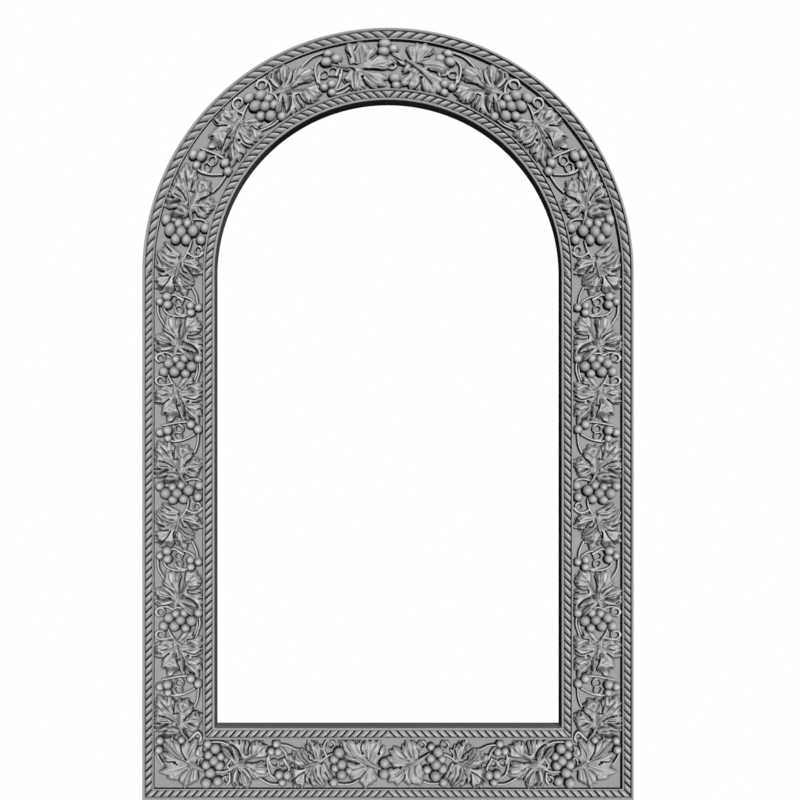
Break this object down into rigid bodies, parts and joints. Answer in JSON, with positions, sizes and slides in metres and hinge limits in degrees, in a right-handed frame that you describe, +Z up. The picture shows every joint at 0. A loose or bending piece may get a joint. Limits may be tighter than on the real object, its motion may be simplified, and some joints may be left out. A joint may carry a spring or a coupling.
{
  "type": "icon frame",
  "caption": "Arched picture frame for an icon, with rope mouldings around a band of carved vine leaves and grapes, a rebate for the panel and turn buttons behind it.",
  "frame": {"origin": "centre of the hanger plate's round hole, on the back face of the boards", "axes": "+X to the viewer's right, +Z up, and the carved front faces -Y"},
  "size_m": [0.32, 0.0273, 0.503],
  "materials": {
    "board_wood": "grey primed, satin",
    "cable_wood": "grey primed, satin",
    "frieze_wood": "grey primed, satin",
    "tongue_beech": "bare, planed",
    "button_steel": "zinc plated",
    "screw_steel": "zinc plated",
    "hanger_steel": "zinc plated",
    "bumper_rubber": "matt"
  },
  "bodies": {
    "root": {"left_stile": "board_wood", "right_stile": "board_wood", "bottom_rail": "board_wood", "arch_left": "board_wood", "arch_crown": "board_wood", "arch_right": "board_wood", "corner_tongues": "tongue_beech", "springing_tongues": "tongue_beech", "arch_tongues": "tongue_beech", "outer_cable_left": "cable_wood", "outer_cable_right": "cable_wood", "outer_cable_arch_left": "cable_wood", "outer_cable_arch_right": "cable_wood", "outer_cable_bottom_left": "cable_wood", "outer_cable_bottom_right": "cable_wood", "inner_cable_left": "cable_wood", "inner_cable_right": "cable_wood", "inner_cable_arch_left": "cable_wood", "inner_cable_arch_right": "cable_wood", "inner_cable_bottom_left": "cable_wood", "inner_cable_bottom_right": "cable_wood", "crown_frieze": "frieze_wood", "arch_frieze_left": "frieze_wood", "arch_frieze_right": "frieze_wood", "shoulder_frieze_left": "frieze_wood", "shoulder_frieze_right": "frieze_wood", "upper_frieze_left": "frieze_wood", "upper_frieze_right": "frieze_wood", "middle_frieze_left": "frieze_wood", "middle_frieze_right": "frieze_wood", "lower_frieze_left": "frieze_wood", "lower_frieze_right": "frieze_wood", "corner_frieze_left": "frieze_wood", "corner_frieze_right": "frieze_wood", "bottom_frieze": "frieze_wood", "turn_button_screws": "screw_steel", "hanger_plate": "hanger_steel", "hanger_screws": "screw_steel", "wall_bumpers": "bumper_rubber"},
    "turn_button_arch_left": {"turn_button_arch_left": "button_steel"},
    "turn_button_arch_right": {"turn_button_arch_right": "button_steel"},
    "turn_button_stile_left": {"turn_button_stile_left": "button_steel"},
    "turn_button_stile_right": {"turn_button_stile_right": "button_steel"},
    "turn_button_bottom_left": {"turn_button_bottom_left": "button_steel"},
    "turn_button_bottom_right": {"turn_button_bottom_right": "button_steel"}
  },
  "joints": [
    {"name": "turn_arch_left", "type": "hinge", "parent": "root", "child": "turn_button_arch_left", "pos_m": [-0.09495, 0.0011, -0.05031], "axis": [0, 1, 0], "continuous": true},
    {"name": "turn_arch_right", "type": "hinge", "parent": "root", "child": "turn_button_arch_right", "pos_m": [0.09495, 0.0011, -0.05031], "axis": [0, 1, 0], "continuous": true},
    {"name": "turn_stile_left", "type": "hinge", "parent": "root", "child": "turn_button_stile_left", "pos_m": [-0.132, 0.0011, -0.28408], "axis": [0, 1, 0], "continuous": true},
    {"name": "turn_stile_right", "type": "hinge", "parent": "root", "child": "turn_button_stile_right", "pos_m": [0.132, 0.0011, -0.28408], "axis": [0, 1, 0], "continuous": true},
    {"name": "turn_bottom_left", "type": "hinge", "parent": "root", "child": "turn_button_bottom_left", "pos_m": [-0.0565, 0.0011, -0.457], "axis": [0, 1, 0], "continuous": true},
    {"name": "turn_bottom_right", "type": "hinge", "parent": "root", "child": "turn_button_bottom_right", "pos_m": [0.0565, 0.0011, -0.457], "axis": [0, 1, 0], "continuous": true}
  ]
}
